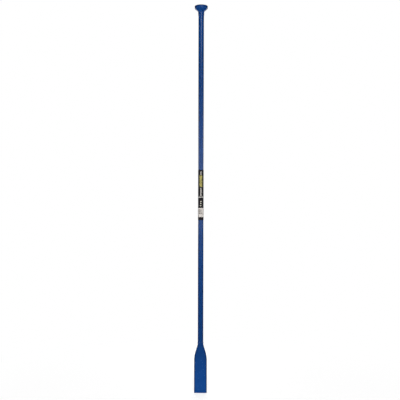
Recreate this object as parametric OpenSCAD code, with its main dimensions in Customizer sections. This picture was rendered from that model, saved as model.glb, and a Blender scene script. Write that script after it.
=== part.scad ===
// Digging bar: a round steel shaft with a forged chisel blade welded to its foot
// and a forged tamper head welded to its top. A film label wraps the shaft at mid
// height and a paper sticker lies on the label.
// The bar stands on its cutting edge along +Z, and the blade's broad faces look
// along -Y (front) and +Y (back). Millimetres.

/* [Bar] */
// Overall length, cutting edge to tamper face
bar_length = 1800; // [1500:10:2100]
// Diameter of the shaft
shaft_d = 25.4; // [20:0.2:32]

/* [Chisel blade] */
// Width of the blade
blade_w = 59; // [44:0.5:80]
// Length of the parallel-sided part, cutting edge to shoulder
blade_straight = 152; // [100:1:220]
// Thickness of the blade at the shoulder
blade_root_t = 10; // [8:0.5:14]
// Thickness of the blade just above the bevel
blade_tip_t = 7.5; // [5:0.5:12]
// Thickness left at the cutting edge
edge_t = 2; // [1:0.25:4]
// Height of the bevel on each face
bevel_h = 13; // [6:0.5:30]
// Corner radius at the two ends of the cutting edge
corner_r = 3; // [1:0.25:6]
// Radius of the convex shoulder
shoulder_r = 140; // [80:5:160]
// Slope of the flare's sides against the axis, in degrees
flare_angle = 17.5; // [15:0.5:20]
// Radius of the hollow where the flare leaves the neck
flare_fillet_r = 20; // [10:1:30]
// How much wider than the shaft the blade's round neck is
blade_neck_swell = 1; // [0:0.25:8]
// Straight length of the blade's neck above the flare
blade_neck_h = 8; // [6:0.5:30]

/* [Tamper head] */
// Diameter of the rim, just under its upper edge
head_d = 61; // [45:0.5:80]
// Height of the rim, tamping face to the start of the cone
rim_h = 13.2; // [9:0.1:16]
// How much narrower the rim is at the cone, the draft of the forging
rim_draft = 1.6; // [0:0.1:4]
// Slope of the cone under the rim against the axis, in degrees
cone_angle = 49; // [42:1:55]
// Radius of the rim's upper edge
rim_edge_r = 3; // [1:0.25:5]
// Radius of the rim's lower edge
rim_under_r = 3; // [1:0.25:4]
// Radius of the hollow between cone and neck
head_fillet_r = 7; // [4:0.5:10]
// Height of the neck, weld groove to hollow
head_neck_h = 11.6; // [4:0.2:30]
// How much wider than the shaft the neck is at the weld
head_neck_swell = 2; // [0:0.2:6]
// How much wider the neck has grown at the hollow
head_neck_taper = 1; // [0:0.2:4]

/* [Weld joints] */
// Flat shoulder between each spigot and the weld groove
root_land = 1.5; // [1:0.25:3]
// Length of each spigot
spigot_l = 22; // [12:1:24]
// Chamfer on each spigot's tip
spigot_chamfer = 1.5; // [0.5:0.25:3]
// Radial clearance between spigot and socket
socket_gap = 0.1; // [0.05:0.05:0.5]
// Free depth beyond the spigot's tip
socket_relief = 2; // [0.5:0.5:3]
// Depth of the weld groove below the shaft's surface
weld_depth = 2.5; // [1:0.1:4]
// How far the weld's crown stands proud
weld_crown = 0.5; // [0.2:0.1:1.5]

/* [Labels] */
// Height of the wrap label
label_h = 233; // [120:1:300]
// Weld joint of the blade to the label's lower edge
label_rise = 568; // [100:1:700]
// Thickness of the label film
label_t = 0.2; // [0.1:0.05:0.5]
// Length of the overlap at the back
label_lap = 9; // [4:0.5:16]
// Height of the paper sticker
sticker_h = 41.5; // [20:0.5:80]
// Width of the paper sticker, measured round the bar
sticker_w = 52; // [30:1:60]
// Label's lower edge to the sticker's lower edge
sticker_rise = 14.5; // [4:0.5:30]
// Thickness of the sticker paper
sticker_t = 0.15; // [0.1:0.05:0.4]
// Thickness of the glue under each label
glue_line = 0.05; // [0.02:0.01:0.1]

/* [Hidden] */

// Fineness: facets of a full turn, steps of an arc, loft steps and loft facets
turn_fn = 96;
arc_steps = 8;
corner_steps = 4;
flare_steps = 32;
side_steps = 16;
// Overrun of every cut past the face that it leaves
cut_over = 1;

paint_blue = "#12418a";
film_black = "#17161a";
paper_white = "#dcd7d2";

// Radii that several pieces share
shaft_r = shaft_d / 2;
groove_root_r = shaft_r - weld_depth;
spigot_r = groove_root_r - root_land;
socket_r = spigot_r + socket_gap;
socket_depth = spigot_l + socket_relief;
blade_neck_r = shaft_r + blade_neck_swell / 2;
head_neck_foot_r = shaft_r + head_neck_swell / 2;
head_neck_top_r = head_neck_foot_r + head_neck_taper / 2;
rim_r = head_d / 2;
rim_low_r = rim_r - rim_draft / 2;
label_in_r = shaft_r + glue_line;
label_out_r = label_in_r + label_t;
sticker_in_r = label_out_r + glue_line;

// Flare of the blade: convex shoulder, straight flank, hollow, then the neck
half_w = blade_w / 2;
flare_bow = shoulder_r * (1 - cos(flare_angle));
flare_hollow = flare_fillet_r * (1 - cos(flare_angle));
flank_in = half_w - blade_neck_r - flare_bow - flare_hollow;
bow_h = shoulder_r * sin(flare_angle);
flank_h = flank_in / tan(flare_angle);
hollow_h = flare_fillet_r * sin(flare_angle);
flare_h = bow_h + flank_h + hollow_h;
blade_length = blade_straight + flare_h + blade_neck_h;
blade_bevel_in = blade_neck_r - groove_root_r;

// Tamper head, from the tamping face down: rim, cone, hollow, neck and weld groove
head_hollow = head_fillet_r * (1 - cos(cone_angle));
cone_h = (rim_low_r - head_neck_top_r - head_hollow) / tan(cone_angle);
head_hollow_h = head_fillet_r * sin(cone_angle);
head_bevel_in = head_neck_foot_r - groove_root_r;
head_length = rim_h + cone_h + head_hollow_h + head_neck_h + head_bevel_in;

// Heights along the bar
blade_joint_z = blade_length;
head_joint_z = bar_length - head_length;
label_z = blade_joint_z + label_rise;
sticker_z = label_z + sticker_rise;

// Angles that the label's overlap and the sticker take up round the bar
front_angle = -90;
back_angle = 90;
full_turn = 360;
lap_angle = full_turn * label_lap / (2 * PI * label_out_r);
sticker_angle = full_turn * sticker_w / (2 * PI * sticker_in_r);

// Points of an arc about a centre, from angle a0 to a1
function arc(centre, r, a0, a1, steps) =
    [for (i = [0 : steps]) let (a = a0 + (a1 - a0) * i / steps) centre + r * [cos(a), sin(a)]];

function ease(t) = t * t * (3 - 2 * t);

function mix(a, b, t) = a + (b - a) * t;

// Half width of the blade at a height above the cutting edge
function blade_half_w(z) =
    let (up = z - blade_straight, down = blade_straight + flare_h - z)
    z < corner_r ? half_w - corner_r + sqrt(pow(corner_r, 2) - pow(corner_r - z, 2)) :
    up <= 0 ? half_w :
    up <= bow_h ? half_w - shoulder_r + sqrt(pow(shoulder_r, 2) - pow(up, 2)) :
    down >= hollow_h ? half_w - flare_bow - (up - bow_h) * tan(flare_angle) :
    down > 0 ? blade_neck_r + flare_fillet_r - sqrt(pow(flare_fillet_r, 2) - pow(down, 2)) :
    blade_neck_r;

// Half thickness of the blade at a height above the cutting edge
function blade_half_t(z) =
    z <= bevel_h ? mix(edge_t, blade_tip_t, z / bevel_h) / 2 :
    z <= blade_straight ?
        mix(blade_tip_t, blade_root_t, (z - bevel_h) / (blade_straight - bevel_h)) / 2 :
    z < blade_straight + flare_h ?
        mix(blade_root_t / 2, blade_neck_r, ease((z - blade_straight) / flare_h)) :
    blade_neck_r;

// One section of the blade: two straight faces joined by round edges
function blade_ring(z) =
    let (t = blade_half_t(z), reach = max(blade_half_w(z) - t, 0))
    [for (p = concat(arc([reach, 0], t, -90, 90, side_steps), arc([-reach, 0], t, 90, 270, side_steps)))
        [p.x, p.y, z]];

// Heights of the blade's sections, from the cutting edge to the weld joint
function blade_heights() = concat(
    [for (i = [0 : corner_steps]) corner_r * (1 - cos(90 * i / corner_steps))],
    [bevel_h],
    [for (i = [0 : flare_steps]) blade_straight + flare_h * i / flare_steps],
    [blade_length]);

// Solid through a stack of rings that all have the same number of points
module loft(rings) {
    n = len(rings[0]);
    last = len(rings) - 1;
    polyhedron(
        points = [for (ring = rings) for (p = ring) p],
        faces = concat(
            [[for (i = [0 : n - 1]) i]],
            [for (k = [0 : last - 1]) for (i = [0 : n - 1]) let (j = (i + 1) % n)
                [k * n + i, (k + 1) * n + i, (k + 1) * n + j]],
            [for (k = [0 : last - 1]) for (i = [0 : n - 1]) let (j = (i + 1) % n)
                [k * n + i, (k + 1) * n + j, k * n + j]],
            [[for (i = [n - 1 : -1 : 0]) last * n + i]]));
}

module revolve(points) rotate_extrude($fn = turn_fn) polygon(points);

// Round bar with a shouldered spigot and half a weld groove at each end
module shaft() {
    foot = blade_joint_z - spigot_l;
    top = head_joint_z + spigot_l;
    color(paint_blue) revolve([
        [0, foot],
        [spigot_r - spigot_chamfer, foot],
        [spigot_r, foot + spigot_chamfer],
        [spigot_r, blade_joint_z],
        [groove_root_r, blade_joint_z],
        [shaft_r, blade_joint_z + weld_depth],
        [shaft_r, head_joint_z - weld_depth],
        [groove_root_r, head_joint_z],
        [spigot_r, head_joint_z],
        [spigot_r, top - spigot_chamfer],
        [spigot_r - spigot_chamfer, top],
        [0, top]]);
}

// Forged blade: flat chisel, flared shoulder and round neck, bored for the spigot
module chisel_blade() {
    color(paint_blue) difference() {
        loft([for (z = blade_heights()) blade_ring(z)]);
        translate([0, 0, blade_joint_z - socket_depth])
            cylinder(r = socket_r, h = socket_depth + cut_over, $fn = turn_fn);
        revolve([
            [groove_root_r, blade_joint_z],
            [blade_neck_r + cut_over, blade_joint_z - blade_bevel_in - cut_over],
            [blade_neck_r + cut_over, blade_joint_z + cut_over],
            [groove_root_r, blade_joint_z + cut_over]]);
    }
}

// Forged head: tamping disc, cone and neck, with a blind socket for the spigot
module tamper_head() {
    under_z = bar_length - rim_h;
    under_rise = rim_under_r * tan(cone_angle / 2);
    hollow_z = under_z - cone_h - head_hollow_h;
    color(paint_blue) revolve(concat(
        [
            [0, head_joint_z + socket_depth],
            [socket_r, head_joint_z + socket_depth],
            [socket_r, head_joint_z],
            [groove_root_r, head_joint_z],
            [head_neck_foot_r, head_joint_z + head_bevel_in]
        ],
        arc([head_neck_top_r + head_fillet_r, hollow_z], head_fillet_r, 180, 180 - cone_angle, arc_steps),
        arc([rim_low_r - rim_under_r, under_z + under_rise], rim_under_r, -cone_angle, 0, arc_steps),
        arc([rim_r - rim_edge_r, bar_length - rim_edge_r], rim_edge_r, 0, 90, arc_steps),
        [[0, bar_length]]));
}

// Weld metal that fills the groove between the shaft and a neck, with a low crown.
// The joint plane is at z = 0 and the shaft is on the +Z side.
module weld_ring(neck_r) {
    shaft_toe = [shaft_r, weld_depth];
    neck_toe = [neck_r, groove_root_r - neck_r];
    along = neck_toe - shaft_toe;
    out = [-along.y, along.x] / norm(along);
    color(paint_blue) revolve(concat(
        [[groove_root_r, 0]],
        [for (i = [arc_steps : -1 : 0]) let (t = i / arc_steps)
            shaft_toe + along * t + out * weld_crown * sin(180 * t)]));
}

module blade_weld() translate([0, 0, blade_joint_z]) weld_ring(blade_neck_r);

module head_weld() translate([0, 0, head_joint_z]) mirror([0, 0, 1]) weld_ring(head_neck_foot_r);

// Film or paper bent round the shaft over an angle, centred on a direction
module bent_sheet(in_r, t, h, angle, centre) {
    rotate([0, 0, centre - angle / 2])
        rotate_extrude(angle = angle, $fn = turn_fn)
            translate([in_r, 0]) square([t, h]);
}

// Printed film right round the shaft, lapped over its own edge at the back
module wrap_label() {
    color(film_black) translate([0, 0, label_z]) {
        difference() {
            cylinder(r = label_out_r, h = label_h, $fn = turn_fn);
            translate([0, 0, -cut_over])
                cylinder(r = label_in_r, h = label_h + 2 * cut_over, $fn = turn_fn);
        }
        bent_sheet(label_out_r, label_t, label_h, lap_angle, back_angle);
    }
}

// White paper sticker on the front of the label
module data_sticker() {
    color(paper_white) translate([0, 0, sticker_z])
        bent_sheet(sticker_in_r, sticker_t, sticker_h, sticker_angle, front_angle);
}

shaft();
chisel_blade();
tamper_head();
blade_weld();
head_weld();
wrap_label();
data_sticker();
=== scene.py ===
import math

import bmesh
import bpy
from mathutils import Euler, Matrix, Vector, noise


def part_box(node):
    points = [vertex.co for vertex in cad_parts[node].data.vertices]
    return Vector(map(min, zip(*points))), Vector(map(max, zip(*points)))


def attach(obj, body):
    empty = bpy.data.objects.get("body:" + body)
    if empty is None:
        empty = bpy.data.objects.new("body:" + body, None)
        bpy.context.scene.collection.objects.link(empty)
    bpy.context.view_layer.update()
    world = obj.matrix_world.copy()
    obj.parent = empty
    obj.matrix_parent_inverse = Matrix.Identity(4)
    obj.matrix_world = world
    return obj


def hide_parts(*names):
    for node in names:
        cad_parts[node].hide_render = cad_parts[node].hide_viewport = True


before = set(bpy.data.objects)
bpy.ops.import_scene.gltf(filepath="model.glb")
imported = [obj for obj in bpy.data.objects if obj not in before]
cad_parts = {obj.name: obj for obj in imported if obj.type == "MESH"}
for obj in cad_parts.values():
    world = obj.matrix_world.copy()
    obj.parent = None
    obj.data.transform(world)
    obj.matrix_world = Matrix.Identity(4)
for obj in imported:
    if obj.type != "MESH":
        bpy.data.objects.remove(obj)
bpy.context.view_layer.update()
mm = 0.001
print("frame loaded:", ", ".join(sorted(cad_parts)))


# Shared helpers

# the standard sRGB curve
def hexToLinear(code):
    channels = [int(code[i:i + 2], 16) / 255 for i in (1, 3, 5)]
    return [c / 12.92 if c <= 0.04045 else ((c + 0.055) / 1.055) ** 2.4 for c in channels] + [1.0]


mixFirst, mixSecond, mixResult = 6, 7, 2    # the colour sockets of a Mix node
noiseSpan = (0.3, 0.7)                      # where most values of a noise texture lie


# adds one node, sets its properties, then links or fills its inputs
def addNode(tree, kind, settings=None, inputs=None):
    node = tree.nodes.new("ShaderNode" + kind)
    for key, value in (settings or {}).items():
        setattr(node, key, value)
    for key, value in (inputs or {}).items():
        if isinstance(value, bpy.types.NodeSocket):
            tree.links.new(value, node.inputs[key])
        else:
            node.inputs[key].default_value = value
    return node


def emptyMaterial(name):
    material = bpy.data.materials.new(name)
    material.use_nodes = True
    material.node_tree.nodes.clear()
    return material, material.node_tree


def smooth(t):
    t = min(max(t, 0), 1)
    return t * t * (3 - 2 * t)


def mix(a, b, t):
    return a + (b - a) * t


# the points that part a straight line into equal spans, without its two ends
def between(first, last, spans):
    return [tuple(mix(a, b, i / spans) for a, b in zip(first, last)) for i in range(1, spans)]


def arcPoints(centre, radius, start, end, steps):
    angles = [math.radians(mix(start, end, i / steps)) for i in range(steps + 1)]
    return [(centre[0] + radius * math.cos(a), centre[1] + radius * math.sin(a)) for a in angles]


# a skin through rings of equal point count, all in millimetres
# close joins the last ring to the first, otherwise the ends stay open for a cap
def skinRings(mesh, rings, close=False):
    rows = [[mesh.verts.new([c * mm for c in p]) for p in ring] for ring in rings]
    pairs = list(zip(rows, rows[1:])) + ([(rows[-1], rows[0])] if close else [])
    for low, high in pairs:
        count = len(low)
        for i in range(count):
            j = (i + 1) % count
            mesh.faces.new((low[i], low[j], high[j], high[i]))
    return rows


def capFan(mesh, ring, apex, flip=False):
    tip = mesh.verts.new([c * mm for c in apex])
    for i, corner in enumerate(ring):
        nextCorner = ring[(i + 1) % len(ring)]
        mesh.faces.new((nextCorner, corner, tip) if flip else (corner, nextCorner, tip))


def turnedRings(profile, segments):
    angles = [2 * math.pi * i / segments for i in range(segments)]
    return [[(r * math.sin(a), -r * math.cos(a), z) for a in angles] for r, z in profile]


# edges over sharpAngle degrees stay crisp, edgeWearAndShade says how dark the edges are painted, 0 to
# 1: thin coat, and painted shade on the blade's sides and the head's rim
def finishPiece(mesh, name, node, material, sharpAngle, edgeWearAndShade=None):
    bmesh.ops.recalc_face_normals(mesh, faces=mesh.faces)
    data = bpy.data.meshes.new(name)
    mesh.to_mesh(data)
    mesh.free()
    data.shade_smooth()
    data.set_sharp_from_angle(angle=math.radians(sharpAngle))
    if edgeWearAndShade:
        layer = data.attributes.new("edgeWearAndShade", "FLOAT", "POINT")
        for item, vertex in zip(layer.data, data.vertices):
            item.value = edgeWearAndShade(vertex.co / mm)
    data.materials.append(material)
    piece = bpy.data.objects.new(name, data)
    bpy.context.scene.collection.objects.link(piece)
    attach(piece, "root")
    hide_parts(node)
    print(name, "made,", len(data.polygons), "faces")


# Materials

# Blue enamel, sprayed over bare steel: an even deep blue with a soft gloss, a fine orange
# peel, faint clouds in the tone, and darker edges: a thin coat that lets dark steel through, and
# painted shade
enamelSpec = {
    "blue": "#14498F",
    "deepBlue": "#0F3C7B",
    "thinCoatAndShadeBlue": "#0D2B5A",     # where the coat has drawn back from an edge, also painted shade on edges
    "ior": 1.5,
    "gloss": (0.2, 0.28),      # roughness, least and most
    "cloud": 42,               # mm across one cloud of tone
    "cloudDetail": 3.0,
    "cloudBreakUp": 0.55,      # how strongly the finer tones break up a cloud
    "peel": 2.4,               # mm between dimples, about twice the real size so that it shows
    "peelDetail": 1.0,
    "peelDepth": 0.02,         # mm
    "nib": 6,                  # mm between patches that break up the darkened edge
    "nibDetail": 4.0,
    "nibSpan": (0.35, 0.65),   # noise values from a patch's middle to the clear between patches
    "nibEdgeDark": (0.65, 1.0),    # how dark the edge is painted at those two
}
# The steel shows through the coat as relief: long faint lines on the rolled bar, shallow
# scale pits on the forgings. Sizes in mm, across, across and along the bar
steelRelief = {
    "rolled": {"size": (3.5, 3.5, 120), "depth": 0.012, "detail": 2.0},
    "forged": {"size": (7, 7, 9), "depth": 0.05, "detail": 2.0},
}


def enamelMaterial(name, spec, relief):
    material, tree = emptyMaterial(name)
    place = addNode(tree, "TexCoord").outputs["Object"]
    cloud = addNode(tree, "TexNoise", None, {
        "Vector": place, "Scale": 1 / (spec["cloud"] * mm),
        "Detail": spec["cloudDetail"], "Roughness": spec["cloudBreakUp"]})
    tone = addNode(tree, "Mix", {"data_type": "RGBA"}, {
        "Factor": cloud.outputs["Fac"],
        mixFirst: hexToLinear(spec["deepBlue"]),
        mixSecond: hexToLinear(spec["blue"])})
    nibs = addNode(tree, "TexNoise", None, {
        "Vector": place, "Scale": 1 / (spec["nib"] * mm), "Detail": spec["nibDetail"]})
    edge = addNode(tree, "Attribute", {"attribute_name": "edgeWearAndShade"})
    patchy = addNode(tree, "MapRange", None, {
        "Value": nibs.outputs["Fac"],
        "From Min": spec["nibSpan"][0], "From Max": spec["nibSpan"][1],
        "To Min": spec["nibEdgeDark"][0], "To Max": spec["nibEdgeDark"][1]})
    # edges darkened for a thin coat and as painted shade, broken up in patches
    darkenedEdge = addNode(tree, "Math", {"operation": "MULTIPLY", "use_clamp": True}, {
        0: edge.outputs["Fac"], 1: patchy.outputs["Result"]})
    coat = addNode(tree, "Mix", {"data_type": "RGBA"}, {
        "Factor": darkenedEdge.outputs["Value"],
        mixFirst: tone.outputs[mixResult],
        mixSecond: hexToLinear(spec["thinCoatAndShadeBlue"])})
    rough = addNode(tree, "MapRange", None, {
        "Value": nibs.outputs["Fac"], "From Min": noiseSpan[0], "From Max": noiseSpan[1],
        "To Min": spec["gloss"][0], "To Max": spec["gloss"][1]})
    stretched = addNode(tree, "Mapping", None, {
        "Vector": place, "Scale": [1 / (size * mm) for size in relief["size"]]})
    steel = addNode(tree, "TexNoise", None, {
        "Vector": stretched.outputs["Vector"], "Scale": 1.0, "Detail": relief["detail"]})
    steelBump = addNode(tree, "Bump", None, {
        "Strength": 1.0, "Distance": relief["depth"] * mm, "Height": steel.outputs["Fac"]})
    peel = addNode(tree, "TexNoise", None, {
        "Vector": place, "Scale": 1 / (spec["peel"] * mm), "Detail": spec["peelDetail"]})
    peelBump = addNode(tree, "Bump", None, {
        "Strength": 1.0, "Distance": spec["peelDepth"] * mm, "Height": peel.outputs["Fac"],
        "Normal": steelBump.outputs["Normal"]})
    shader = addNode(tree, "BsdfPrincipled", None, {
        "Base Color": coat.outputs[mixResult],
        "Roughness": rough.outputs["Result"],
        "IOR": spec["ior"],
        "Normal": peelBump.outputs["Normal"]})
    addNode(tree, "OutputMaterial", None, {"Surface": shader.outputs["BSDF"]})
    return material


# A printed mark is a stack of plain bars, up the bar from low to high and centred on
# the front, or shifted round the bar by shift mm. Returns where its ink lies, 0 or 1.
def inkMask(tree, across, up, mark):
    span = mark["high"] - mark["low"]
    sideways = across
    if mark.get("shift"):
        moved = addNode(tree, "Math", {"operation": "SUBTRACT"}, {0: across, 1: mark["shift"]})
        sideways = moved.outputs[0]
    within = addNode(tree, "Math", {"operation": "COMPARE"}, {
        0: sideways, 1: 0.0, 2: mark["width"] / 2})
    height = addNode(tree, "Math", {"operation": "COMPARE"}, {
        0: up, 1: mark["low"] + span / 2, 2: span / 2})
    mask = addNode(tree, "Math", {"operation": "MULTIPLY"}, {
        0: within.outputs[0], 1: height.outputs[0]})
    if mark.get("pitch"):
        start = addNode(tree, "Math", {"operation": "SUBTRACT"}, {0: up, 1: mark["low"]})
        step = addNode(tree, "Math", {"operation": "MODULO"}, {
            0: start.outputs[0], 1: mark["pitch"]})
        bar = addNode(tree, "Math", {"operation": "LESS_THAN"}, {
            0: step.outputs[0], 1: mark["bar"]})
        mask = addNode(tree, "Math", {"operation": "MULTIPLY"}, {
            0: mask.outputs[0], 1: bar.outputs[0]})
    return mask.outputs[0]


# ground colour with every mark printed on it, across in mm round the bar, up in mm from foot
def printedColour(tree, place, radius, foot, ground, marks):
    parts = addNode(tree, "SeparateXYZ", None, {"Vector": place})
    front = addNode(tree, "Math", {"operation": "MULTIPLY"}, {0: parts.outputs["Y"], 1: -1.0})
    angle = addNode(tree, "Math", {"operation": "ARCTAN2"}, {
        0: parts.outputs["X"], 1: front.outputs[0]})
    across = addNode(tree, "Math", {"operation": "MULTIPLY"}, {0: angle.outputs[0], 1: radius})
    up = addNode(tree, "Math", {"operation": "MULTIPLY_ADD"}, {
        0: parts.outputs["Z"], 1: 1 / mm, 2: -foot})
    colour = ground
    for mark in marks:
        layer = addNode(tree, "Mix", {"data_type": "RGBA"}, {
            "Factor": inkMask(tree, across.outputs[0], up.outputs[0], mark),
            mixFirst: colour,
            mixSecond: hexToLinear(mark["ink"])})
        colour = layer.outputs[mixResult]
    return colour


# Printed polypropylene film, matt laminated: near black with a dull sheen, inks that lie
# flush in it and faint ripples where it was rolled on
filmSpec = {
    "black": "#17151B",
    "greyed": "#1D1B22",     # rubbed patches
    "core": "#C9C6C1",       # the film's own white, seen at its cut edges
    "ior": 1.49,
    "sheen": 0.3,            # specular level, low as on a matt film
    "gloss": (0.44, 0.56),
    "rub": 14,               # mm across a rubbed patch
    "rubDetail": 5.0,
    "rubBreakUp": 0.6,
    "ripple": 9,             # mm from ripple to ripple
    "rippleDetail": 2.0,
    "rippleDepth": 0.02,     # mm
    "rippleStrength": 0.5,
    "marks": [
        {"ink": "#E2DDD6", "low": 211, "high": 224, "width": 5.5, "pitch": 7.5, "bar": 5.0},
        {"ink": "#DED27C", "low": 155, "high": 206, "width": 12, "pitch": 4.4, "bar": 2.7},
        {"ink": "#E2DDD6", "low": 113, "high": 150, "width": 6.4, "pitch": 4.2, "bar": 2.8},
        {"ink": "#E2DFDA", "low": 104.8, "high": 108.4, "width": 30},
        {"ink": "#D2CDBF", "low": 65, "high": 92, "width": 6.6, "pitch": 9.3, "bar": 5.2},
    ],
    "backMarks": [
        {"ink": "#8E8B88", "low": 120, "high": 196, "width": 11, "shift": 24, "pitch": 4.0, "bar": 1.3},
        {"ink": "#8E8B88", "low": 40, "high": 104, "width": 11, "shift": -24, "pitch": 4.0, "bar": 1.3},
    ],
}


def filmMaterial(name, spec, radius, foot):
    material, tree = emptyMaterial(name)
    place = addNode(tree, "TexCoord").outputs["Object"]
    rub = addNode(tree, "TexNoise", None, {
        "Vector": place, "Scale": 1 / (spec["rub"] * mm),
        "Detail": spec["rubDetail"], "Roughness": spec["rubBreakUp"]})
    ground = addNode(tree, "Mix", {"data_type": "RGBA"}, {
        "Factor": rub.outputs["Fac"],
        mixFirst: hexToLinear(spec["black"]),
        mixSecond: hexToLinear(spec["greyed"])})
    marks = spec["marks"] + spec["backMarks"]
    printed = printedColour(tree, place, radius, foot, ground.outputs[mixResult], marks)
    cut = addNode(tree, "Attribute", {"attribute_name": "cutEdge"})
    colour = addNode(tree, "Mix", {"data_type": "RGBA"}, {
        "Factor": cut.outputs["Fac"],
        mixFirst: printed,
        mixSecond: hexToLinear(spec["core"])})
    rough = addNode(tree, "MapRange", None, {
        "Value": rub.outputs["Fac"], "From Min": noiseSpan[0], "From Max": noiseSpan[1],
        "To Min": spec["gloss"][0], "To Max": spec["gloss"][1]})
    ripple = addNode(tree, "TexNoise", None, {
        "Vector": place, "Scale": 1 / (spec["ripple"] * mm), "Detail": spec["rippleDetail"]})
    bump = addNode(tree, "Bump", None, {
        "Strength": spec["rippleStrength"], "Distance": spec["rippleDepth"] * mm,
        "Height": ripple.outputs["Fac"]})
    shader = addNode(tree, "BsdfPrincipled", None, {
        "Base Color": colour.outputs[mixResult],
        "Roughness": rough.outputs["Result"],
        "IOR": spec["ior"],
        "Specular IOR Level": spec["sheen"],
        "Normal": bump.outputs["Normal"]})
    addNode(tree, "OutputMaterial", None, {"Surface": shader.outputs["BSDF"]})
    return material


# Coated label paper: warm white and matt, with a fine fibre and plain grey rules
paperSpec = {
    "white": "#F6F0EA",
    "shade": "#ECE5DF",
    "ior": 1.5,
    "gloss": 0.58,
    "fibre": 0.8,            # mm, about four times the real fibre so that it shows close up
    "fibreDetail": 4.0,
    "fibreBreakUp": 0.6,
    "fibreDepth": 0.01,      # mm
    "fibreStrength": 0.4,
    "marks": [
        {"ink": "#4E4A48", "low": 15, "high": 35, "width": 14, "shift": -3, "pitch": 3.6, "bar": 1.6},
        {"ink": "#A7A29F", "low": 7, "high": 19, "width": 11, "shift": -19, "pitch": 3.0, "bar": 1.0},
    ],
}


def paperMaterial(name, spec, radius, foot):
    material, tree = emptyMaterial(name)
    place = addNode(tree, "TexCoord").outputs["Object"]
    fibre = addNode(tree, "TexNoise", None, {
        "Vector": place, "Scale": 1 / (spec["fibre"] * mm),
        "Detail": spec["fibreDetail"], "Roughness": spec["fibreBreakUp"]})
    ground = addNode(tree, "Mix", {"data_type": "RGBA"}, {
        "Factor": fibre.outputs["Fac"],
        mixFirst: hexToLinear(spec["shade"]),
        mixSecond: hexToLinear(spec["white"])})
    colour = printedColour(tree, place, radius, foot, ground.outputs[mixResult], spec["marks"])
    bump = addNode(tree, "Bump", None, {
        "Strength": spec["fibreStrength"], "Distance": spec["fibreDepth"] * mm,
        "Height": fibre.outputs["Fac"]})
    shader = addNode(tree, "BsdfPrincipled", None, {
        "Base Color": colour,
        "Roughness": spec["gloss"],
        "IOR": spec["ior"],
        "Normal": bump.outputs["Normal"]})
    addNode(tree, "OutputMaterial", None, {"Surface": shader.outputs["BSDF"]})
    return material


rolledEnamel = enamelMaterial("rolledEnamel", enamelSpec, steelRelief["rolled"])
forgedEnamel = enamelMaterial("forgedEnamel", enamelSpec, steelRelief["forged"])
print("enamel ready")


# Heights and radii that the pieces share, read from the frame in millimetres

def boxOf(node):
    low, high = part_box(node)
    return low / mm, high / mm


bladeLow, bladeHigh = boxOf("chisel_blade")
headLow, headHigh = boxOf("tamper_head")
shaftLow, shaftHigh = boxOf("shaft")
labelLow, labelHigh = boxOf("wrap_label")
stickerLow, stickerHigh = boxOf("data_sticker")
shaftRadius = (shaftHigh.x - shaftLow.x) / 2
bladeJoint = bladeHigh.z
headJoint = headLow.z

# from here on lengths are in millimetres up to the stage
jointSpec = {
    "grooveDepth": 2.5,      # weld groove below the shaft's surface
    "land": 1.5,             # flat shoulder between groove and spigot
    "gap": 0.1,              # spigot to socket
    "relief": 2,             # free depth past the spigot's tip
    "chamfer": 1.5,          # on the spigot's tip
    "turnSegments": 160,     # round the shaft and the head
}
grooveRoot = shaftRadius - jointSpec["grooveDepth"]
spigotRadius = grooveRoot - jointSpec["land"]
socketRadius = spigotRadius + jointSpec["gap"]
socketDepth = bladeJoint - shaftLow.z + jointSpec["relief"]


# Shaft: rolled round bar with a spigot at each end
shaftSpec = {
    "spans": 48,             # along the plain length
    "sharpAngle": 30,
}


def makeShaft():
    tip = jointSpec["chamfer"]
    plainFoot = (shaftRadius, bladeJoint + jointSpec["grooveDepth"])
    plainTop = (shaftRadius, headJoint - jointSpec["grooveDepth"])
    profile = [
        (spigotRadius - tip, shaftLow.z),
        (spigotRadius, shaftLow.z + tip),
        (spigotRadius, bladeJoint),
        (grooveRoot, bladeJoint),
        plainFoot,
    ]
    profile += between(plainFoot, plainTop, shaftSpec["spans"])
    profile += [
        plainTop,
        (grooveRoot, headJoint),
        (spigotRadius, headJoint),
        (spigotRadius, shaftHigh.z - tip),
        (spigotRadius - tip, shaftHigh.z),
    ]
    mesh = bmesh.new()
    rows = skinRings(mesh, turnedRings(profile, jointSpec["turnSegments"]))
    capFan(mesh, rows[0], (0, 0, shaftLow.z), flip=True)
    capFan(mesh, rows[-1], (0, 0, shaftHigh.z))
    finishPiece(mesh, "shaftBar", "shaft", rolledEnamel, shaftSpec["sharpAngle"])


# Chisel blade: flat blade, ground bevel, flared shoulder, round neck with its socket
bladeSpec = {
    "straight": 152,
    "rootThickness": 10,
    "tipThickness": 7.5,
    "edgeThickness": 2,
    "bevelHeight": 13,
    "bevelBlend": 1.4,       # half the height over which the bevel line is rounded
    "cornerRadius": 3,
    "shoulderRadius": 140,
    "flareAngle": 17.5,
    "hollowRadius": 20,
    "neckHeight": 8,
    "ringPoints": 192,
    "edgeWeight": 3,         # points on the round edges against those on the flats
    "spans": {"corner": 8, "bevel": 4, "ridge": 6, "face": 26, "flare": 52, "neck": 2},
    "sharpAngle": 40,
    "waver": 0.09,           # unevenness left by the forge
    "waverLength": 26,       # from one low to the next
    "waverFoot": 20,         # it grows over this height above the bevel
    "waverTop": 25,          # and dies out over this one below the weld
    "wearAndShadeReach": 1.6,        # over which the coat thins at the cutting edge
    "sideShadeReach": 9,          # painted shade: a dark band this wide in from the blade's rounded sides
    "ridgeReach": 1.5,       # and on the ridge where the bevel starts
    "ridgeThinAndShade": 0.5,        # how dark the ridge line is, against the other edges: a thinner coat, and painted shade for the crease
    "edgeFade": 0.8,         # share of the flare over which its sides become too blunt for the painted side shade
}
halfBlade = (bladeHigh.x - bladeLow.x) / 2
neckRadius = (bladeHigh.y - bladeLow.y) / 2
flareAngle = math.radians(bladeSpec["flareAngle"])
bowHeight = bladeSpec["shoulderRadius"] * math.sin(flareAngle)
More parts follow.
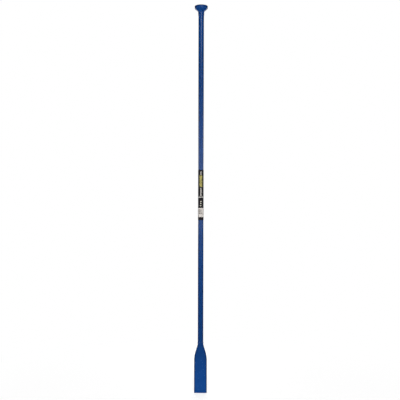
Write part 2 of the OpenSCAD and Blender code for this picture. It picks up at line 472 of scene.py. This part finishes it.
bowWidth = bladeSpec["shoulderRadius"] * (1 - math.cos(flareAngle))
hollowHeight = bladeSpec["hollowRadius"] * math.sin(flareAngle)
flareHeight = bladeJoint - bladeSpec["straight"] - bladeSpec["neckHeight"]


def bladeHalfWidth(z):
    corner, shoulder = bladeSpec["cornerRadius"], bladeSpec["shoulderRadius"]
    hollow = bladeSpec["hollowRadius"]
    up = z - bladeSpec["straight"]
    down = flareHeight - up
    if z < corner:
        return halfBlade - corner + math.sqrt(corner ** 2 - (corner - z) ** 2)
    if up <= 0:
        return halfBlade
    if up <= bowHeight:
        return halfBlade - shoulder + math.sqrt(shoulder ** 2 - up ** 2)
    if down >= hollowHeight:
        return halfBlade - bowWidth - (up - bowHeight) * math.tan(flareAngle)
    if down > 0:
        return neckRadius + hollow - math.sqrt(hollow ** 2 - down ** 2)
    return neckRadius


def bladeHalfThickness(z):
    bevel, straight = bladeSpec["bevelHeight"], bladeSpec["straight"]
    edge, tip, root = (bladeSpec[part + "Thickness"] for part in ("edge", "tip", "root"))
    ground = mix(edge, tip, z / bevel) / 2
    forged = mix(tip, root, (z - bevel) / (straight - bevel)) / 2
    if z <= straight:
        return mix(ground, forged, smooth((z - bevel) / (2 * bladeSpec["bevelBlend"]) + 0.5))
    return mix(root / 2, neckRadius, smooth((z - straight) / flareHeight))


# one section, two straight faces joined by round edges, starting at the middle of the front
def bladeRing(z):
    thick = bladeHalfThickness(z)
    reach = max(bladeHalfWidth(z) - thick, 0)
    count = bladeSpec["ringPoints"]
    edgeRun = bladeSpec["edgeWeight"] * math.pi * thick
    half = 2 * reach + edgeRun
    ring = []
    for i in range(count):
        run = 2 * half * i / count
        back = run > half
        run = run - half if back else run
        if run < reach:
            point = (run, -thick)
        elif run < reach + edgeRun:
            turn = math.pi * (run - reach) / edgeRun
            point = (reach + thick * math.sin(turn), -thick * math.cos(turn))
        else:
            point = (2 * reach + edgeRun - run, thick)
        side = -1 if back else 1
        ring.append(Vector((side * point[0], side * point[1], z)))
    return ring


# moves a forged surface in and out a little, less near machined places
def forgeWaver(point, normal, spec, fade):
    return point + normal * spec["waver"] * fade * noise.noise(point / spec["waverLength"])


# heights of the blade's rings, close together where its outline or thickness turns
def bladeHeights(neckTop):
    corner, bevel = bladeSpec["cornerRadius"], bladeSpec["bevelHeight"]
    blend, straight = bladeSpec["bevelBlend"], bladeSpec["straight"]
    flareTop = straight + flareHeight
    spans = bladeSpec["spans"]
    heights = [corner * (1 - math.cos(math.pi / 2 * i / spans["corner"]))
               for i in range(spans["corner"] + 1)]
    heights += [mix(corner, bevel - blend, i / spans["bevel"]) for i in range(1, spans["bevel"])]
    heights += [bevel - blend + 2 * blend * i / spans["ridge"] for i in range(spans["ridge"] + 1)]
    heights += [mix(bevel + blend, straight, i / spans["face"]) for i in range(1, spans["face"] + 1)]
    heights += [straight + flareHeight * i / spans["flare"] for i in range(1, spans["flare"] + 1)]
    heights += [mix(flareTop, neckTop, i / spans["neck"]) for i in range(1, spans["neck"] + 1)]
    return heights


def makeBlade():
    bevel, straight = bladeSpec["bevelHeight"], bladeSpec["straight"]
    count = bladeSpec["ringPoints"]
    quarter, half = count // 4, count // 2
    neckTop = bladeJoint - (neckRadius - grooveRoot)
    heights = bladeHeights(neckTop)
    rings = [bladeRing(z) for z in heights]
    for ring, z in zip(rings, heights):
        fade = smooth((z - bevel) / bladeSpec["waverFoot"])
        fade *= smooth((neckTop - z) / bladeSpec["waverTop"])
        for i, point in enumerate(ring):
            across = point - ring[i - half]
            outward = Vector((0, math.copysign(1, across.y), 0))
            ring[i] = forgeWaver(point, outward, bladeSpec, fade)
    unit = [Vector((p.x, p.y, 0)) / neckRadius for p in bladeRing(neckTop)]
    socketFoot = bladeJoint - socketDepth
    for radius, z in ((grooveRoot, bladeJoint), (socketRadius, bladeJoint), (socketRadius, socketFoot)):
        rings.append([(p.x * radius, p.y * radius, z) for p in unit])
    mesh = bmesh.new()
    rows = skinRings(mesh, rings)
    capFan(mesh, rows[-1], (0, 0, socketFoot))
    # strips from front to back close the cutting edge
    foot = rows[0]
    for i in range(-quarter, quarter):
        around = (i, i + 1, half - i - 1, half - i)
        corners = [foot[step % count] for step in around]
        mesh.faces.new(list(dict.fromkeys(corners)))

    # blade edges painted darker: thin coat at the cutting edge, painted shade in from the rounded
    # sides, and a dark line on the bevel ridge
    def edgeWearAndShade(place):
        side = 1 - smooth((bladeHalfWidth(place.z) - abs(place.x)) / bladeSpec["sideShadeReach"])
        blunt = smooth((place.z - straight) / (flareHeight * bladeSpec["edgeFade"]))
        ridge = bladeSpec["ridgeThinAndShade"] * (1 - smooth(abs(place.z - bevel) / bladeSpec["ridgeReach"]))
        return max(1 - smooth(place.z / bladeSpec["wearAndShadeReach"]), side * (1 - blunt), ridge)

    finishPiece(mesh, "chiselBlade", "chisel_blade", forgedEnamel,
                bladeSpec["sharpAngle"], edgeWearAndShade)


# Tamper head: disc, cone and neck, turned after forging, with a blind socket
headSpec = {
    "rimHeight": 13.2,
    "rimDraft": 1.6,         # the rim narrows by this much towards the cone
    "coneAngle": 49,
    "rimEdge": 3,
    "rimUnder": 3,
    "hollowRadius": 7,
    "neckSwell": 2,          # neck against shaft, at the weld
    "neckTaper": 1,          # and how much it has grown at the hollow
    "neckSpans": 4,
    "hollowSpans": 10,
    "coneSpans": 6,
    "underSpans": 8,
    "rimSpans": 3,
    "edgeSpans": 12,
    "faceShares": (0.97, 0.75, 0.5, 0.25),   # rings on the flat face, of its radius
    "sharpAngle": 40,
    "waver": 0.08,
    "waverLength": 18,
    "waverFoot": 4,          # it grows over this height above the weld
    "waverTop": 3,           # and dies out over this one below the face
    "wearAndShadeReach": 3.6,        # round the rim's upper edge, darkened for a thin coat and as painted shade
}
headNeckFoot = shaftRadius + headSpec["neckSwell"] / 2
headNeckTop = headNeckFoot + headSpec["neckTaper"] / 2


def makeHead():
    rimRadius = (headHigh.x - headLow.x) / 2
    top = headHigh.z
    coneAngle = headSpec["coneAngle"]
    cone = math.radians(coneAngle)
    under = top - headSpec["rimHeight"]
    hollow, edge, low = headSpec["hollowRadius"], headSpec["rimEdge"], headSpec["rimUnder"]
    hollowOut = headNeckTop + hollow * (1 - math.cos(cone))
    lowRim = rimRadius - headSpec["rimDraft"] / 2
    lowRise = low * math.tan(cone / 2)
    coneHeight = (lowRim - hollowOut) / math.tan(cone)
    hollowZ = under - coneHeight - hollow * math.sin(cone)
    neckZ = headJoint + headNeckFoot - grooveRoot
    faceEdge = rimRadius - edge
    hollowArc = arcPoints((headNeckTop + hollow, hollowZ), hollow,
                          180, 180 - coneAngle, headSpec["hollowSpans"])
    lowArc = arcPoints((lowRim - low, under + lowRise), low, -coneAngle, 0, headSpec["underSpans"])
    edgeArc = arcPoints((faceEdge, top - edge), edge, 0, 90, headSpec["edgeSpans"])
    neckFoot = (headNeckFoot, neckZ)
    profile = [
        (socketRadius, headJoint + socketDepth),
        (socketRadius, headJoint),
        (grooveRoot, headJoint),
        neckFoot,
    ]
    profile += between(neckFoot, (headNeckTop, hollowZ), headSpec["neckSpans"])
    profile += hollowArc + between(hollowArc[-1], lowArc[0], headSpec["coneSpans"])
    profile += lowArc + between(lowArc[-1], edgeArc[0], headSpec["rimSpans"])
    profile += edgeArc + [(faceEdge * share, top) for share in headSpec["faceShares"]]
    rings = []
    for ring, (radius, z) in zip(turnedRings(profile, jointSpec["turnSegments"]), profile):
        fade = smooth((z - neckZ) / headSpec["waverFoot"]) * smooth((top - z) / headSpec["waverTop"])
        outward = [Vector((p[0], p[1], 0)).normalized() for p in ring]
        rings.append([forgeWaver(Vector(p), out, headSpec, fade) for p, out in zip(ring, outward)])
    mesh = bmesh.new()
    rows = skinRings(mesh, rings)
    capFan(mesh, rows[0], (0, 0, headJoint + socketDepth), flip=True)
    capFan(mesh, rows[-1], (0, 0, top))
    diagonal = math.sqrt(0.5)
    edgeMiddle = Vector((faceEdge + edge * diagonal, top - edge * (1 - diagonal)))

    # the rim's upper edge painted darker: thin coat and painted shade
    def edgeWearAndShade(place):
        away = (Vector((math.hypot(place.x, place.y), place.z)) - edgeMiddle).length
        return 1 - smooth(away / headSpec["wearAndShadeReach"])

    finishPiece(mesh, "tamperHead", "tamper_head", forgedEnamel,
                headSpec["sharpAngle"], edgeWearAndShade)


# Weld bead: fills the groove between shaft and neck, laid in overlapping ripples
weldSpec = {
    "crown": 0.5,            # rise of the bead over a straight line from toe to toe
    "ripple": 3.1,           # from one ripple to the next
    "rippleHeight": 0.17,
    "rippleBow": 0.55,       # how far a ripple trails at the toes, in ripples
    "rippleFall": 1.6,       # over 1 makes its front steeper than its back
    "rippleSegments": 12,
    "acrossSteps": 16,
    "sharpAngle": 50,
}


def makeWeld(name, node, joint, side, neck):
    shaftToe = Vector((shaftRadius, jointSpec["grooveDepth"]))
    neckToe = Vector((neck, grooveRoot - neck))
    along = neckToe - shaftToe
    out = Vector((-along.y, along.x)).normalized()
    ripples = round(2 * math.pi * shaftRadius / weldSpec["ripple"])
    segments, acrossSteps = ripples * weldSpec["rippleSegments"], weldSpec["acrossSteps"]
    rings = []
    for k in range(segments):
        angle = 2 * math.pi * k / segments
        ring = [(grooveRoot, 0.0)]
        for i in range(acrossSteps + 1):
            t = 1 - i / acrossSteps
            swell = math.sin(math.pi * t)
            trail = weldSpec["rippleBow"] * (2 * t - 1) ** 2
            phase = (ripples * angle / (2 * math.pi) + trail) % 1
            crest = weldSpec["rippleHeight"] * (1 - phase) ** weldSpec["rippleFall"]
            height = weldSpec["crown"] - weldSpec["rippleHeight"] / 2 + crest
            point = shaftToe + along * t + out * swell * height
            ring.append((point.x, point.y))
        rings.append([(r * math.sin(angle), -r * math.cos(angle), joint + side * z) for r, z in ring])
    mesh = bmesh.new()
    skinRings(mesh, rings, close=True)
    finishPiece(mesh, name, node, forgedEnamel, weldSpec["sharpAngle"])


makeShaft()
makeBlade()
makeHead()
makeWeld("bladeWeld", "blade_weld", bladeJoint, 1, neckRadius)
makeWeld("headWeld", "head_weld", headJoint, -1, headNeckFoot)


# Labels: a film wrapped right round the shaft and a paper sticker on its front
labelSpec = {
    "film": 0.2,             # thickness
    "lap": 9,                # overlap at the back
    "glue": 0.05,
    "lapRamp": 5,            # over which the film climbs onto its own edge
    "filmCorner": 0.6,
    "ripple": 0.035,         # waviness of the film as it was rolled on
    "rippleLength": 22,
    "paper": 0.15,
    "paperWidth": 52,
    "paperCorner": 2.5,
    "crowding": 0.35,        # how much the columns crowd towards a sheet's ends
    "sharpAngle": 50,
}


# a sheet bent round the bar between two angles, measured from the front, with round corners
def bentSheet(name, node, material, spec):
    columns, rows, corner = spec["columns"], spec["rows"], spec["corner"]
    crowding = labelSpec["crowding"]
    mesh = bmesh.new()
    cutEdge = mesh.faces.layers.float.new("cutEdge")
    inner, outer = [], []
    length = (spec["end"] - spec["start"]) * spec["radius"]
    for i in range(columns + 1):
        share = smooth(i / columns) * crowding + (1 - crowding) * i / columns
        angle = mix(spec["start"], spec["end"], share)
        fromEnd = min(share, 1 - share) * length
        inset = corner - math.sqrt(max(corner ** 2 - max(corner - fromEnd, 0) ** 2, 0))
        low, high = spec["low"] + inset, spec["high"] - inset
        for sheet, lift in ((inner, 0), (outer, spec["thickness"])):
            line = []
            for k in range(rows + 1):
                z = mix(low, high, k / rows)
                radius = spec["radiusAt"](angle, z) + lift
                point = Vector((radius * math.sin(angle), -radius * math.cos(angle), z))
                line.append(mesh.verts.new(point * mm))
            sheet.append(line)
    for i in range(columns):
        for k in range(rows):
            mesh.faces.new((outer[i][k], outer[i + 1][k], outer[i + 1][k + 1], outer[i][k + 1]))
            mesh.faces.new((inner[i][k + 1], inner[i + 1][k + 1], inner[i + 1][k], inner[i][k]))
        for k in (0, rows):
            rim = mesh.faces.new((inner[i][k], inner[i + 1][k], outer[i + 1][k], outer[i][k]))
            rim[cutEdge] = 1
    for i in (0, columns):
        for k in range(rows):
            rim = mesh.faces.new((inner[i][k], outer[i][k], outer[i][k + 1], inner[i][k + 1]))
            rim[cutEdge] = 1
    finishPiece(mesh, name, node, material, labelSpec["sharpAngle"])


filmFoot = labelLow.z
filmInner = shaftRadius + labelSpec["glue"]
filmOuter = filmInner + labelSpec["film"]
lapHalf = labelSpec["lap"] / filmOuter / 2
paperInner = filmOuter + labelSpec["glue"]
paperHalf = labelSpec["paperWidth"] / paperInner / 2


def filmRipple(angle, z):
    wave = labelSpec["rippleLength"]
    place = Vector((shaftRadius * math.sin(angle), shaftRadius * math.cos(angle), z)) / wave
    return labelSpec["ripple"] * (0.5 + 0.5 * noise.noise(place))


def filmRadius(angle, z):
    climb = (angle - math.pi + lapHalf) * filmInner / labelSpec["lapRamp"] + 1
    return filmInner + filmRipple(angle, z) + labelSpec["film"] * smooth(climb)


def paperRadius(angle, z):
    return paperInner + filmRipple(angle, z)


filmSheet = {
    "start": -math.pi - lapHalf,
    "end": math.pi + lapHalf,
    "low": filmFoot,
    "high": labelHigh.z,
    "radius": filmInner,
    "thickness": labelSpec["film"],
    "corner": labelSpec["filmCorner"],
    "columns": 220,
    "rows": 60,
    "radiusAt": filmRadius,
}
paperSheet = {
    "start": -paperHalf,
    "end": paperHalf,
    "low": stickerLow.z,
    "high": stickerHigh.z,
    "radius": paperInner,
    "thickness": labelSpec["paper"],
    "corner": labelSpec["paperCorner"],
    "columns": 120,
    "rows": 16,
    "radiusAt": paperRadius,
}
printedFilm = filmMaterial("printedFilm", filmSpec, filmOuter, filmFoot)
labelPaper = paperMaterial("labelPaper", paperSpec, paperInner, stickerLow.z)
bentSheet("wrapLabel", "wrap_label", printedFilm, filmSheet)
bentSheet("dataSticker", "data_sticker", labelPaper, paperSheet)
print("labels made")


# Stage, in metres: pale floor, dark flags that only gloss sees, lamps, white world, camera
stageSpec = {
    "white": "#FFFFFF",
    "floorSize": 40.0,
    "floorGrey": "#C9C9C9",
    "floorGlow": 0.73,       # camera, mirror and glass rays see the floor this much lighter
    "floorNear": 0.35,       # round the bar, where the shadow shows
    "floorFar": 1.3,         # from here on the floor is plain white
    "ambient": 0.15,         # the world's share in the light on the bar
    "flagRadius": 3.0,
    "flagSides": 64,
    "flagGrey": "#0C0D10",
    "flagTop": 7.0,
    "flagLift": 0.0005,      # of the flag that lies on the floor
    "gapFront": (0.5, 1.38),   # the white gap between low and high flag, front and back
    "gapSide": (0.82, 1.75),   # the same at the sides
}
white = hexToLinear(stageSpec["white"])


# 1 for rays that should see the plain white background, 0 for light on the object
def backgroundRays(tree):
    rays = addNode(tree, "LightPath").outputs
    mirror = addNode(tree, "Math", {"operation": "MAXIMUM"}, {
        0: rays["Is Camera Ray"], 1: rays["Is Glossy Ray"]})
    both = addNode(tree, "Math", {"operation": "MAXIMUM"}, {
        0: mirror.outputs[0], 1: rays["Is Transmission Ray"]})
    return both.outputs[0]


def stageMesh(name, points, faces, material):
    data = bpy.data.meshes.new(name)
    data.from_pydata(points, [], faces)
    data.materials.append(material)
    thing = bpy.data.objects.new(name, data)
    bpy.context.scene.collection.objects.link(thing)
    return thing


# Matt pale floor: shows the bar's soft shadow near its foot and fades to plain white around it
def makeFloor():
    material, tree = emptyMaterial("paleFloor")
    seen = backgroundRays(tree)
    matt = addNode(tree, "BsdfDiffuse", None, {"Color": hexToLinear(stageSpec["floorGrey"])})
    lift = addNode(tree, "Math", {"operation": "MULTIPLY"}, {0: seen, 1: stageSpec["floorGlow"]})
    glow = addNode(tree, "Emission", None, {"Color": white, "Strength": lift.outputs[0]})
    pale = addNode(tree, "AddShader", None, {0: matt.outputs[0], 1: glow.outputs[0]})
    blank = addNode(tree, "Emission", None, {"Color": white, "Strength": 1.0})
    place = addNode(tree, "TexCoord").outputs["Object"]
    away = addNode(tree, "VectorMath", {"operation": "LENGTH"}, {0: place})
    far = addNode(tree, "MapRange", {"interpolation_type": "SMOOTHSTEP"}, {
        "Value": away.outputs["Value"],
        "From Min": stageSpec["floorNear"], "From Max": stageSpec["floorFar"]})
    plain = addNode(tree, "Math", {"operation": "MULTIPLY"}, {0: seen, 1: far.outputs["Result"]})
    ground = addNode(tree, "MixShader", None, {
        0: plain.outputs[0], 1: pale.outputs[0], 2: blank.outputs[0]})
    addNode(tree, "OutputMaterial", None, {"Surface": ground.outputs[0]})
    half = stageSpec["floorSize"] / 2
    corners = [(-half, -half, 0), (half, -half, 0), (half, half, 0), (-half, half, 0)]
    floor = stageMesh("floor", corners, [(0, 1, 2, 3)], material)


def makeFlag(name, points, faces, material):
    flag = stageMesh(name, points, faces, material)
    flag.visible_camera = False
    flag.visible_diffuse = False
    flag.visible_transmission = False
    flag.visible_shadow = False


# Black cloth: keeps the white world out of the gloss, except for the gap that it leaves
def makeFlags():
    material, tree = emptyMaterial("darkFlag")
    cloth = addNode(tree, "BsdfDiffuse", None, {"Color": hexToLinear(stageSpec["flagGrey"])})
    addNode(tree, "OutputMaterial", None, {"Surface": cloth.outputs[0]})
    radius, sides = stageSpec["flagRadius"], stageSpec["flagSides"]
    turn = [2 * math.pi * i / sides for i in range(sides)]
    rim = [(radius * math.cos(a), radius * math.sin(a)) for a in turn]
    faces = [(i, (i + 1) % sides, sides + (i + 1) % sides, sides + i) for i in range(sides)]
    for name, flat, gapEdge in (("lowFlag", 0.0, 0), ("highFlag", stageSpec["flagTop"], 1)):
        front, side = stageSpec["gapFront"][gapEdge], stageSpec["gapSide"][gapEdge]
        points = [(x, y, flat) for x, y in rim]
        points += [(x, y, mix(side, front, (y / radius) ** 2)) for x, y in rim]
        makeFlag(name, points, faces, material)
    disc = [(x, y, stageSpec["flagLift"]) for x, y in rim]
    makeFlag("floorFlag", disc, [tuple(range(sides))], material)


# Lamps stand round the bar and point at its axis: turns in degrees from the front, energy in
# watts. Panels and soft box are seen in gloss only, the others light the paint and aren't seen
crownHeight = 4.8            # straight above the head
crownShare = 0.97            # of the head's radius that the crown's narrow cone covers
crownCone = 2 * math.atan(crownShare * headHigh.x * mm / (crownHeight - headHigh.z * mm))
lampSpec = {
    "keys": {
        "turns": {"keyLeft": -12, "keyRight": 12, "backLeft": -168, "backRight": 168},
        "away": 3.7, "height": 1.3, "aim": 0.9, "kind": "AREA", "glossOnly": False,
        # a grid keeps the light on the bar
        "settings": {"shape": "SQUARE", "size": 1.0, "energy": 13.4, "spread": math.radians(100)},
    },
    "panels": {
        "turns": {"panelLeft": -40, "panelRight": 40, "panelBackLeft": -140, "panelBackRight": 140},
        "away": 2.9, "height": 0.95, "aim": 0.95, "kind": "AREA", "glossOnly": True,
        "settings": {"shape": "RECTANGLE", "size": 1.0, "size_y": 0.55, "energy": 4.3},
    },
    "softBox": {
        "turns": {"softBox": 7},
        "away": 2.9, "height": 2.5, "aim": 1.65, "kind": "AREA", "glossOnly": True,
        "settings": {"shape": "RECTANGLE", "size": 2.2, "size_y": 0.6, "energy": 19},
    },
    "crown": {               # down on the head's face
        "turns": {"crownSnoot": 0},
        "away": 0.0, "height": crownHeight, "aim": 0.0, "kind": "SPOT", "glossOnly": False,
        "settings": {"spot_size": crownCone, "spot_blend": 0.1, "shadow_soft_size": 0.0, "energy": 280},
    },
    "headSnoots": {          # up at the head's cone
        "turns": {"frontSnootHead": 0, "backSnootHead": 180},
        "away": 1.2, "height": 0.08, "aim": (headLow.z + headHigh.z) / 2 * mm,
        "kind": "SPOT", "glossOnly": False,
        "settings": {"spot_size": math.radians(6), "spot_blend": 1.0, "shadow_soft_size": 0.05,
                     "energy": 50},
    },
    "footSnoots": {          # on the foot of the blade
        "turns": {"frontSnootFoot": 0, "backSnootFoot": 180},
        "away": 1.2, "height": 0.08, "aim": -0.1, "kind": "SPOT", "glossOnly": False,
        "settings": {"spot_size": math.radians(33), "spot_blend": 1.0, "shadow_soft_size": 0.05,
                     "energy": 26},
    },
}


def makeLamp(name, turn, spec):
    data = bpy.data.lights.new(name, spec["kind"])
    for key, value in spec["settings"].items():
        setattr(data, key, value)
    # with this on, a lamp that gloss shouldn't see leaks back into it
    data.cycles.use_multiple_importance_sampling = spec["glossOnly"]
    angle = math.radians(turn)
    at = Vector((spec["away"] * math.sin(angle), -spec["away"] * math.cos(angle), spec["height"]))
    aim = Vector((0, 0, spec["aim"]))
    lamp = bpy.data.objects.new(name, data)
    lamp.location = at
    lamp.rotation_euler = (aim - at).to_track_quat("-Z", "Y").to_euler()
    lamp.visible_camera = False
    lamp.visible_glossy = spec["glossOnly"]
    lamp.visible_diffuse = not spec["glossOnly"]
    bpy.context.scene.collection.objects.link(lamp)


def makeLamps():
    for spec in lampSpec.values():
        for name, turn in spec["turns"].items():
            makeLamp(name, turn, spec)


def makeWorld():
    world = bpy.data.worlds.new("whiteStudio")
    world.use_nodes = True
    tree = world.node_tree
    tree.nodes.clear()
    strength = addNode(tree, "MapRange", None, {
        "Value": backgroundRays(tree), "To Min": stageSpec["ambient"], "To Max": 1.0})
    sky = addNode(tree, "Background", None, {"Color": white, "Strength": strength.outputs["Result"]})
    addNode(tree, "OutputWorld", None, {"Surface": sky.outputs[0]})
    world.cycles.sampling_method = "NONE"
    bpy.context.scene.world = world


cameraSpec = {
    "sensor": 36,            # mm
    "distance": 3.36,        # metres from the bar's axis
    "height": 0.8976,
    "aside": -0.0038,        # the bar stands a little right of the middle
    "roll": -0.13,           # degrees, the bar leans a little to the right
    "frameWidth": 1.8605,    # metres across the picture at the bar
}


def makeCamera():
    data = bpy.data.cameras.new("camera")
    data.sensor_width = cameraSpec["sensor"]
    data.lens = data.sensor_width * cameraSpec["distance"] / cameraSpec["frameWidth"]
    camera = bpy.data.objects.new("camera", data)
    camera.location = (cameraSpec["aside"], -cameraSpec["distance"], cameraSpec["height"])
    camera.rotation_euler = Euler((math.pi / 2, math.radians(cameraSpec["roll"]), 0))
    bpy.context.scene.collection.objects.link(camera)
    bpy.context.scene.camera = camera


makeFloor()
makeFlags()
makeLamps()
makeWorld()
makeCamera()
bpy.context.scene.view_settings.view_transform = "Standard"
print("stage ready")
